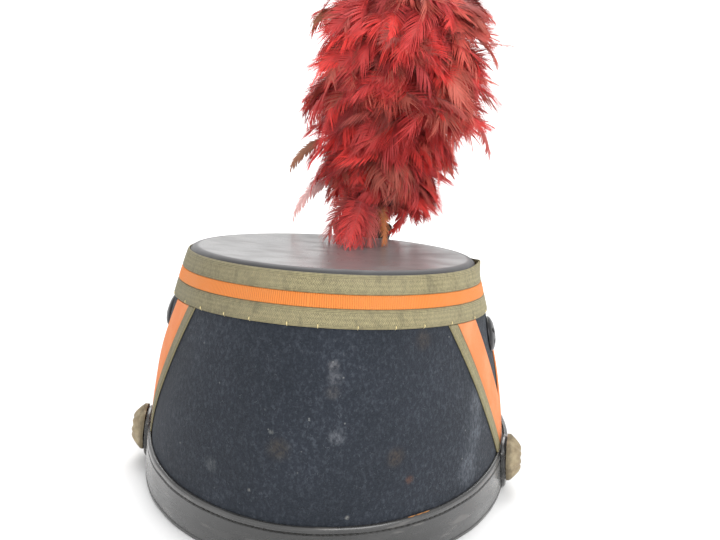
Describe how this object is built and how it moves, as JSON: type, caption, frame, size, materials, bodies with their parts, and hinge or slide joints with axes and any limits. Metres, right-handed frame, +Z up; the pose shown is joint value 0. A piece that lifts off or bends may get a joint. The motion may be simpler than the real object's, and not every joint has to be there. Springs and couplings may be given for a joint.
{
  "type": "shako hat",
  "caption": "Tapered oval felt shako with a slanted leather top, leather head band and peak, lace stripes, side chevrons, bosses and vents, and a red feather plume.",
  "frame": {"origin": "centre of the oval head opening, on the plane of the bottom rim that the hat stands on", "axes": "+Z up, -Y to the front of the hat with the plume and the peak, +X to the wearer's left"},
  "size_m": [0.1898, 0.257, 0.2386],
  "materials": {
    "navy_felt": "matt navy-black wool felt with pale lint",
    "patent_leather": "glossy black varnished leather, dulled by wear",
    "black_leather": "worn black leather with a soft gloss",
    "olive_lace": "woven olive lace with a fine diaper pattern",
    "orange_ribbon": "ribbed orange ribbon",
    "orange_cloth": "plain orange cloth",
    "japanned_metal": "black lacquered metal",
    "tarnished_brass": "dull tarnished cast brass",
    "red_feather": "dyed red feathers, soft and dusty"
  },
  "bodies": {
    "root": {"crown_wall": "navy_felt", "crown_top": "patent_leather", "headband": "black_leather", "top_lace_upper": "olive_lace", "top_ribbon": "orange_ribbon", "top_lace_lower": "olive_lace", "chin_strap": "black_leather", "peak": "patent_leather", "chevron_left_ribbon": "orange_cloth", "chevron_left_lace_rear": "olive_lace", "chevron_left_lace_front": "olive_lace", "vent_left": "japanned_metal", "boss_left": "tarnished_brass", "chevron_right_ribbon": "orange_cloth", "chevron_right_lace_rear": "olive_lace", "chevron_right_lace_front": "olive_lace", "vent_right": "japanned_metal", "boss_right": "tarnished_brass", "plume_socket": "black_leather", "plume": "red_feather"}
  },
  "joints": []
}
